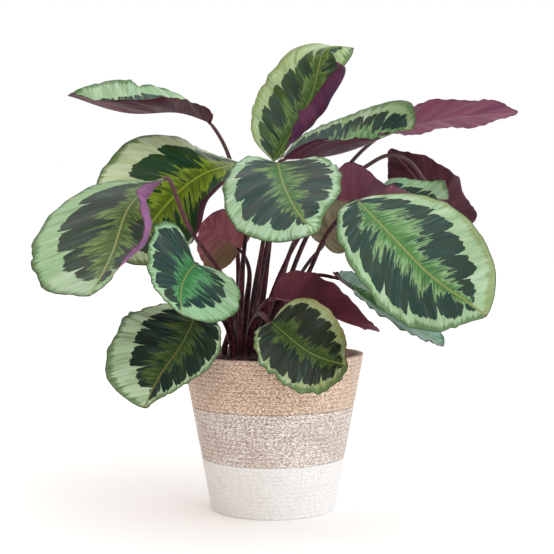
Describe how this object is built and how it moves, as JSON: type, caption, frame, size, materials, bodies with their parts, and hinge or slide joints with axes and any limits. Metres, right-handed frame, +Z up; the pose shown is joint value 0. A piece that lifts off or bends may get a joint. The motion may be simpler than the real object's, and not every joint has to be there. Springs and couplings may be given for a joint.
{
  "type": "potted calathea",
  "caption": "Potted calathea with round painted leaves on long dark stalks, in soil in a growing pot inside a tapered coiled-rope basket.",
  "frame": {"origin": "centre of the basket's underside, on the surface that it stands on", "axes": "+Z up, -Y towards the side that the picture shows, +X to the right in the picture"},
  "size_m": [0.5691, 0.3706, 0.5403],
  "materials": {
    "rope_white": "matt coiled rope, bleached white",
    "rope_mixed": "matt coiled rope, tan and white strands",
    "rope_tan": "matt coiled rope, natural tan",
    "pot_plastic": "matt black",
    "soil": "loose dark potting soil with bits of bark",
    "leaf_blade": "satin, dark green with pale green edge band and maroon underside",
    "leaf_stalk": "satin, dark red-brown"
  },
  "bodies": {
    "root": {"basket_lower": "rope_white", "basket_middle": "rope_mixed", "basket_upper": "rope_tan", "growing_pot": "pot_plastic", "soil": "soil", "leaf_01_blade": "leaf_blade", "leaf_01_stalk": "leaf_stalk", "leaf_02_blade": "leaf_blade", "leaf_02_stalk": "leaf_stalk", "leaf_03_blade": "leaf_blade", "leaf_03_stalk": "leaf_stalk", "leaf_04_blade": "leaf_blade", "leaf_04_stalk": "leaf_stalk", "leaf_05_blade": "leaf_blade", "leaf_05_stalk": "leaf_stalk", "leaf_06_blade": "leaf_blade", "leaf_06_stalk": "leaf_stalk", "leaf_07_blade": "leaf_blade", "leaf_07_stalk": "leaf_stalk", "leaf_08_blade": "leaf_blade", "leaf_08_stalk": "leaf_stalk", "leaf_09_blade": "leaf_blade", "leaf_09_stalk": "leaf_stalk", "leaf_10_blade": "leaf_blade", "leaf_10_stalk": "leaf_stalk", "leaf_11_blade": "leaf_blade", "leaf_11_stalk": "leaf_stalk", "leaf_12_blade": "leaf_blade", "leaf_12_stalk": "leaf_stalk", "leaf_13_blade": "leaf_blade", "leaf_13_stalk": "leaf_stalk", "leaf_14_blade": "leaf_blade", "leaf_14_stalk": "leaf_stalk", "leaf_15_blade": "leaf_blade", "leaf_15_stalk": "leaf_stalk", "leaf_16_blade": "leaf_blade", "leaf_16_stalk": "leaf_stalk", "leaf_17_blade": "leaf_blade", "leaf_17_stalk": "leaf_stalk"}
  },
  "joints": []
}
